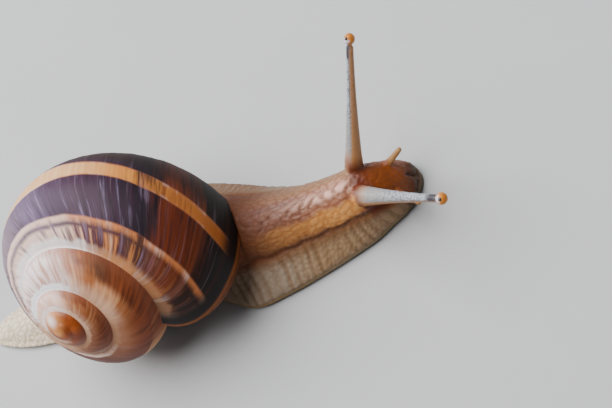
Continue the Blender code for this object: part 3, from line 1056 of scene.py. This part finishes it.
def body_map(points):
    """The angle of each point round the back, and its run along and across the skin."""
    xs, sizes, run = body_table()
    x = points[:, 0]
    back, back_shift, height = (np.interp(x, xs, sizes[:, column]) for column in (2, 3, 4))
    edge = np.minimum(MARGIN, height / 2)
    over = (points[:, 2] - edge) / np.maximum(height - edge, 0.3)
    out = (points[:, 1] - back_shift) / np.maximum(back, 0.3)
    side = np.arctan2(-out, np.maximum(over, 0.02))
    return side, np.interp(x, xs, run), side * (back + height) / 2


def is_inside(tree, point):
    """A ray from inside a closed mesh crosses its surface an odd number of times."""
    crossings = 0
    place = tree.ray_cast(point, RAY)[0]
    while place:
        crossings += 1
        place = tree.ray_cast(place + RAY * 1e-4, RAY)[0]
    return crossings % 2 == 1


def near_collar(points, picked):
    """How near each of the picked points lies to the mantle's collar, from 0 to 1."""
    tree = BVHTree.FromBMesh(collar())
    near = np.zeros(len(points))
    for i in picked:
        near[i] = eased(1.6 - tree.find_nearest(Vector(points[i]))[3])
    return near


def seat_flesh(points, edges, picked, shell_tree):
    """The flesh pushed clear of the shell, and which points were held there."""
    held = np.zeros(len(points))
    for smoothing in SEAT_SMOOTHING:
        for i in picked:
            point = Vector(points[i])
            near, normal, _, away = shell_tree.find_nearest(point)
            if (point - near).dot(normal) > SKIN_ROOM:
                continue
            if is_inside(shell_tree, point):
                points[i] = near + normal * SKIN_ROOM
                held[i] = 1
            elif away < SKIN_ROOM:
                points[i] = near + (point - near).normalized() * SKIN_ROOM
                held[i] = 1
        points = smooth_out(points, edges, held * 0.8, smoothing)
    return points, held


def ridge(values, middle, width):
    """A smooth ridge over an array: 1 at the middle, fading out over a width."""
    return np.exp(-(((values - middle) / width) ** 2))


def relief(x, points, marks, along, across):
    """How far the skin stands out at each point; the patterns it uses join the marks."""
    _, y, z = points.T
    slender = marks["slender"]
    angle = np.degrees(marks["side"])
    lower = np.abs(angle)
    on_body = (1 - slender) * (1 - marks["bulb"]) * (1 - marks["collar"])
    on_body *= 1 - marks["feeler"] * 0.7

    # Tubercles, and the lumps along the neck.
    bent_along = along + 0.5 * np.sin(across * 1.1 + 0.8 * np.sin(along * 0.5))
    bent_across = across + 0.35 * np.sin(along * 0.85 + 0.6)
    large, tone = cobbles(bent_along, bent_across, *LARGE_PEBBLES, 3)
    small, small_tone = cobbles(bent_along, bent_across, *SMALL_PEBBLES, 5)
    is_side = lift(lower, *FOOT_BEGINS)
    pebble = (0.6 * large + 0.4 * small) * (1 - is_side) + small * is_side * 0.8
    tone = np.where(is_side > 0.5, small_tone, tone)
    row, _ = cobbles(bent_along + 0.25 * across, bent_across + 0.5, *NECK_LUMPS, 12)
    row *= row * ridge(angle, LUMPS_ANGLE, LUMPS_SPREAD)
    row *= lift(x, *LUMPS_BEGIN) * lift(x, *LUMPS_END)
    pebble *= 1 - row * 0.6

    # The side groove, the folds down the foot and the furrow over its margin.
    wave = along / FOLD_SPACING + 0.25 * np.sin(along * 0.55)
    wave += 0.2 * np.sin(across * 0.9 + along * 0.3)
    deep = 0.65 + 0.35 * np.sin(along * 0.9 + 1.3 * np.sin(along * 0.37))
    fold = 0.5 + 0.5 * np.sin(2 * math.pi * wave) * deep * np.where(angle > 0, 1, 0.4)
    fold_room = between(lower, 64, 86, 5) * lift(z, 0.5, 1.4)
    groove = ridge(lower - 1.5 * np.sin(along * 1.4), GROOVE_ANGLE, GROOVE_SPREAD)
    groove *= lift(x, *GROOVE_BEGINS) * lift(x, *GROOVE_ENDS)
    furrow = ridge(z, FURROW_HEIGHT, FURROW_WIDTH) * (lower > 60)

    # The mouth: an upright slit between the lips, and a cleft that parts them from the foot.
    at_front = lift(x, *FRONT_BEGINS)
    cleft = at_front * ridge(z, CLEFT, CLEFT_WIDTH) * lift(lower, 88, 74)
    slit = lift(x, *SLIT_BEGINS) * ridge(y, SLIT_ACROSS, SLIT_WIDTH)
    slit *= between(z, SLIT_LOW, SLIT_HIGH, 0.4)

    wrinkle, stalk_tone = cobbles(marks["reach"] * 40, angle * 0.03 + y * 0.8, *WRINKLES, 9)
    out = PEBBLE_RELIEF * pebble * on_body * lift(z, 0.9, 1.8)
    out += on_body * (LUMPS_RELIEF * row + FOLD_RELIEF * fold_room * (fold - 0.5))
    out -= on_body * (GROOVE_DEPTH * groove + FURROW_DEPTH * furrow * (1 - at_front))
    out -= on_body * CLEFT_DEPTH * cleft + SLIT_DEPTH * slit
    out += slender * WRINKLE_RELIEF * wrinkle
    marks["pebble"] = pebble * (1 - slender) + wrinkle * slender
    marks["tone"] = tone * (1 - slender) + stalk_tone * slender
    marks["fold"] = fold
    marks["row"] = row
    return out * lift(z, 0.1, 0.7)


def grow_skin(shell_tree):
    """One skin over all the flesh, with its relief, and marks on its points for the colours."""
    mesh = fuse(flesh_forms(), SKIN_VOXEL)
    points = mesh_vectors(mesh, "co")
    edges = np.empty(len(mesh.edges) * 2, int)
    mesh.edges.foreach_get("vertices", edges)
    edges = edges.reshape(-1, 2)
    marks = mark_tentacles(points)
    plump = 0.6 * (1 - marks["slender"]) * (1 - marks["bulb"])
    points = smooth_out(points, edges, plump, JOIN_SMOOTHING)

    marks["side"], along, across = body_map(points)
    x, _, z = points.T
    picked = np.flatnonzero((x > SEAT_START) & (x < SEAT_END) & (z > SEAT_FLOOR))
    marks["collar"] = near_collar(points, picked)
    points, held = seat_flesh(points, edges, picked, shell_tree)
    out = relief(x, points, marks, along, across) * (1 - held * 0.8)

    mesh.vertices.foreach_set("co", points.ravel())
    mesh.update()
    normals = mesh_vectors(mesh, "normal")
    points = points + normals * out[:, None]
    points[:, 2] = np.where(points[:, 2] < FLAT_BELOW, 0, points[:, 2])
    mesh.vertices.foreach_set("co", (points * MM).ravel())
    # How far each point turns from the light, for the tentacles' painted shade.
    marks["under"] = normals @ np.array(AWAY_FROM_SKY)
    for name, values in marks.items():
        store(mesh, name, values)
    return mesh


class SkinFinish(Finish):
    """Moist skin, coloured by its place on the animal and by the marks on its points."""

    def __init__(self):
        super().__init__(
            "snail_skin",
            Specular_IOR_Level=0.25,
            Subsurface_Weight=0.08,
            Subsurface_Radius=(0.0012, 0.0005, 0.0003),
            Subsurface_Scale=0.6,
            Coat_Roughness=0.2,
        )
        self.object_place = self.node("TexCoord", output="Object")
        self.x, self.y, self.z = (value * TO_MM for value in self.parts(self.object_place))
        self.side = self.attribute("side") * math.degrees(1)
        self.lower = self.side.absolute()
        self.grain = self.speckle(self.object_place, 1100, 3)
        self.blotch = self.speckle(self.object_place, 330, 3)
        self.wide = self.speckle(self.object_place, 110, 2)
        self.top = self.attribute("pebble").rise(0.1, 0.9)
        self.drift = self.side + (self.blotch - 0.5) * 22

    def neck(self):
        """The back of the neck: tan on its left, brownish pink above, with a row of pale lumps, darker
        with painted shade towards the shell.
        """
        x, side, top, row = self.x, self.side, self.top, self.attribute("row")
        furrow = self.mix(self.wide.rise(0.4, 0.6), paint(0.45, 0.28, 0.2), paint(0.53, 0.35, 0.25))
        crown = self.mix(self.attribute("tone"), paint(0.64, 0.43, 0.32), paint(0.74, 0.54, 0.43))
        neck = self.mix(top * 0.65, furrow, crown)
        plain = self.mix(top * 0.35, paint(0.5, 0.36, 0.25), paint(0.64, 0.49, 0.35))
        neck = self.mix(side.rise(-4, -20) * 0.85, neck, plain)
        neck = self.mix(row * x.rise(15, 31) * 0.75, neck, paint(0.9, 0.69, 0.6))
        ruddy = self.drift.band(18, 28, 5) * (1 - row * 0.5) * 0.5
        neck = self.mix(ruddy, neck, paint(0.5, 0.26, 0.13))
        middle = side.near(-3, 6) * x.band(13, 24, 2) * 0.35
        neck = self.mix(middle, neck, paint(0.36, 0.26, 0.28))
        # Painted shade: darker towards the shell, whose lip shades the neck.
        neck = self.mix(x.rise(31, 14) * 0.7, neck, paint(0.34, 0.19, 0.13))
        return self.mix(side.rise(-16, -6) * x.rise(33, 18) * 0.4, neck, paint(0.34, 0.21, 0.16))

    def with_stripe(self, colour):
        """The tan stripe down the right side of the neck, dimmed by painted shade towards the shell,
        with painted shade on the skin beside the lip.
        """
        x, blotch, drift = self.x, self.blotch, self.drift
        tan = self.mix(self.top * 0.35, paint(0.76, 0.49, 0.23), paint(0.9, 0.67, 0.38))
        tan = self.mix(blotch.rise(0.55, 0.7) * 0.35, tan, paint(0.56, 0.3, 0.1))
        tan = self.mix(drift.rise(44, 54) * 0.5, tan, paint(0.58, 0.33, 0.13))
        # Painted shade dims the stripe towards the shell.
        tan = self.mix(x.rise(20, 12) * 0.7, tan, paint(0.44, 0.22, 0.08))
        tan = self.mix(x.rise(33, 17) * 0.7, tan, paint(0.36, 0.21, 0.13))
        stripe = drift.band(29, 56, 5) * x.rise(7, 13) * x.rise(41, 37)
        colour = self.mix(stripe, colour, tan)
        # Painted shade beside the shell's lip.
        return self.mix(x.rise(21, 12.5) * 0.55, colour, paint(0.22, 0.1, 0.06))

    def with_foot(self, colour):
        """The beige folds of the foot, the groove above them browned with painted shade, and the
        margin below.
        """
        x, lower, blotch = self.x, self.lower, self.blotch
        beige = self.mix(x.rise(26, 16), paint(0.58, 0.46, 0.33), paint(0.56, 0.49, 0.41))
        valley = (self.attribute("fold") * -1 + 0.75) * (blotch * 0.8 + 0.4)
        beige = self.mix(valley.rise(0, 0.7) * 0.7, beige, paint(0.42, 0.29, 0.17))
        beige = self.mix((1 - self.top) * 0.2, beige, paint(0.4, 0.29, 0.2))
        beige = self.mix(lower.rise(74, 62) * 0.75, beige, paint(0.42, 0.26, 0.13))
        colour = self.mix(lower.rise(56, 62), colour, beige)
        # Painted shade in the groove above the folds.
        groove = (lower + (blotch - 0.5) * 6).band(54, 61, 3) * x.rise(41, 38) * x.rise(6, 14)
        colour = self.mix(groove * 0.75, colour, paint(0.36, 0.19, 0.08))
        margin = self.mix(self.grain, paint(0.42, 0.33, 0.22), paint(0.58, 0.48, 0.33))
        return self.mix(self.z.rise(1.7, 1.1), colour, margin)

    def with_ends(self, colour):
        """The cream tail, and painted shade on the front edge of the foot, under the head."""
        cream = self.mix(self.top * 0.6, paint(0.76, 0.68, 0.56), paint(0.95, 0.9, 0.82))
        colour = self.mix(self.x.rise(2, -20) * 0.9, colour, cream)
        # Painted shade under the head.
        return self.mix(self.x.rise(39, 42) * 0.65, colour, paint(0.21, 0.15, 0.09))

    def with_face(self, colour):
        """The face: red-brown, then orange-brown, partly painted shade of the face turned from the
        light, and painted shade in front; with the mouth and the feelers.
        """
        x, blotch = self.x, self.blotch
        face = self.mix(x.rise(36.5, 39.5), paint(0.36, 0.13, 0.05), paint(0.5, 0.24, 0.05))
        face = self.mix(blotch.rise(0.4, 0.7) * 0.4, face, paint(0.36, 0.18, 0.05))
        # Painted shade over the front of the face.
        face = self.mix((x + self.wide * 2).rise(42.1, 44) * 0.9, face, paint(0.17, 0.12, 0.07))
        slit = self.y.near(SLIT_ACROSS, 0.55) * self.z.band(SLIT_LOW, SLIT_HIGH, 0.3)
        face = self.mix(slit * x.rise(41.2, 42) * 0.8, face, paint(0.08, 0.03, 0.02))
        on_face = (x + blotch * 1.4).rise(35.9, 36.9) * self.lower.rise(72, 54)
        on_face = on_face.higher((x + blotch).rise(41, 42.2))
        on_face = on_face * (self.z + blotch * 0.6).rise(CLEFT, CLEFT + 0.7)
        colour = self.mix(on_face, colour, face)
        feeler = self.mix(self.grain, paint(0.56, 0.38, 0.2), paint(0.72, 0.54, 0.34))
        return self.mix(self.attribute("feeler"), colour, feeler)

    def with_mantle(self, colour):
        """Painted shade under the lip of the shell, and the mantle's dark collar."""
        under_lip = self.x.rise(20, 13) * self.x.rise(-2, 6) * (1 - self.side.rise(60, 68) * 0.9)
        colour = self.mix(under_lip * 0.5, colour, paint(0.38, 0.2, 0.1))
        mantle = self.mix(self.grain, paint(0.34, 0.17, 0.09), paint(0.5, 0.29, 0.16))
        return self.mix(self.attribute("collar") * 0.8, colour, mantle)

    def with_tentacles(self, colour):
        """Long tentacles: granular grey towards the light, painted shade in tan on the side turned
        from it and along the line between, dark just below the amber ends.
        """
        reach, under = self.attribute("reach"), self.attribute("under")
        granule = self.speckle(self.object_place, 3600, 2, 0.6)
        grey = self.mix(granule.rise(0.36, 0.62), paint(0.36, 0.36, 0.37), paint(0.67, 0.68, 0.7))
        grey = self.mix(reach.rise(0.55, 0.25) * 0.7, grey, paint(0.55, 0.53, 0.5))
        grey = self.mix(reach.rise(0.22, 0.1) * 0.8, grey, paint(0.66, 0.48, 0.36))
        # Painted shade: tan on the side turned from the light.
        grey = self.mix(under.rise(0, 0.3) * 0.85, grey, paint(0.66, 0.44, 0.22))
        # Painted shade along the line between the lit and the shaded side.
        shade_edge = under.near(0.05, 0.22) * reach.rise(0.2, 0.6) * 0.5
        grey = self.mix(shade_edge, grey, paint(0.3, 0.17, 0.1))
        dusk = reach.band(0.83, 0.93, 0.03) * under.rise(0.4, -0.2)
        grey = self.mix(dusk * 0.9, grey, paint(0.15, 0.1, 0.12))
        colour = self.mix(self.attribute("slender"), colour, grey)
        amber = self.mix(self.blotch, paint(0.7, 0.38, 0.08), paint(0.84, 0.54, 0.18))
        colour = self.mix(self.attribute("bulb") * reach.rise(0.935, 0.965), colour, amber)
        # A painted glint of pale sky round each eye.
        return self.mix(self.attribute("eye_glint") * 0.8, colour, paint(0.8, 0.86, 0.94))


def skin_finish():
    finish = SkinFinish()
    colour = finish.with_stripe(finish.neck())
    colour = finish.with_ends(finish.with_foot(colour))
    colour = finish.with_mantle(finish.with_face(colour))
    colour = finish.with_tentacles(colour)
    top, grain = finish.top, finish.grain
    # Close to the shell the skin is duller.
    sheltered = finish.x.rise(27, 15)
    pores = finish.bump(finish.speckle(finish.object_place, 5200, 2), 0.00003, 0.4)
    finish.set(
        Base_Color=colour,
        Roughness=0.5 - top * 0.1 + grain * 0.1 + sheltered * 0.2,
        Coat_Weight=(0.1 + top * 0.1) * (1 - sheltered * 0.9),
        Normal=finish.bump(grain, 0.0001, 0.4, pores),
    )
    return finish.material


def eye_finish():
    """Black under a clear wet skin."""
    finish = Finish("wet_eye", Coat_Weight=1.0, Coat_Roughness=0.03)
    place = finish.node("TexCoord", output="Object")
    cloud = finish.speckle(place, 3000, 2)
    colour = finish.mix(cloud, paint(0.03, 0.025, 0.025), paint(0.09, 0.06, 0.05))
    finish.set(Base_Color=colour, Roughness=0.12 + cloud * 0.1)
    return finish.material


def add_eye(side, material):
    look = Vector(LONG_TENTACLES[side][2]).normalized()
    bm = ball(eye_centre(side), (EYE_RADIUS,) * 3, look)
    mesh_piece("eye_dot_" + side, bm, material, "eye", "eye_" + side)


# The set


def floor_finish():
    finish = Finish("pale_floor")
    place = finish.node("TexCoord", output="Object")
    grain = finish.speckle(place, 60, 4)
    colour = finish.mix(grain, paint(0.66, 0.655, 0.65), paint(0.69, 0.685, 0.68))
    finish.set(Base_Color=colour, Roughness=0.75 + grain * 0.1)
    return finish.material


def add_floor():
    bm = bmesh.new()
    bmesh.ops.create_grid(bm, x_segments=1, y_segments=1, size=3)
    mesh = bpy.data.meshes.new("floor")
    bm.to_mesh(mesh)
    bm.free()
    mesh.materials.append(floor_finish())
    floor = bpy.data.objects.new("floor", mesh)
    bpy.context.scene.collection.objects.link(floor)


def add_light(name, place, towards, size, power, colour):
    light = bpy.data.lights.new(name, "AREA")
    light.shape = "DISK"
    light.size = size
    light.energy = power
    light.color = colour
    lamp = bpy.data.objects.new(name, light)
    lamp.location = place
    lamp.rotation_euler = (Vector(towards) - Vector(place)).to_track_quat("-Z", "Y").to_euler()
    bpy.context.scene.collection.objects.link(lamp)


def add_lights():
    add_light("sky_window", (-0.22, 0.16, 0.72), (0, 0, 0.01), 1.1, 21, (0.95, 0.97, 1.0))
    add_light("side_window", (-0.6, 0.3, 0.25), (0, 0, 0.01), 0.5, 2.4, (0.92, 0.96, 1.0))
    world = bpy.data.worlds.new("room")
    world.use_nodes = True
    background = world.node_tree.nodes["Background"]
    background.inputs["Color"].default_value = (0.82, 0.88, 1.0, 1)
    background.inputs["Strength"].default_value = 0.2
    bpy.context.scene.world = world


def add_camera():
    camera = bpy.data.cameras.new("camera")
    camera.lens = CAMERA_LENS
    camera.sensor_width = CAMERA_SENSOR
    camera.clip_start = 0.01
    holder = bpy.data.objects.new("camera", camera)
    holder.location = CAMERA_PLACE
    holder.rotation_euler = Euler([math.radians(angle) for angle in CAMERA_TURN])
    bpy.context.scene.collection.objects.link(holder)
    bpy.context.scene.camera = holder


FLESH = ["tail", "foot", "mantle_collar", "neck", "head"]
for hand in ("left", "right"):
    FLESH += ["tentacle_upper_" + hand + part for part in ("_root", "_shaft", "_bulb")]
    FLESH.append("tentacle_lower_" + hand)

shell_form = grow_shell()
shell_form.normal_update()
shell_bvh = BVHTree.FromBMesh(shell_form)
mesh_piece("banded_shell", shell_form, shell_finish(), "shell", "shell")
mesh_object("snail_skin", grow_skin(shell_bvh), skin_finish(), "skin", *FLESH)
wet_eye = eye_finish()
for hand in ("left", "right"):
    add_eye(hand, wet_eye)
add_floor()
add_lights()
add_camera()
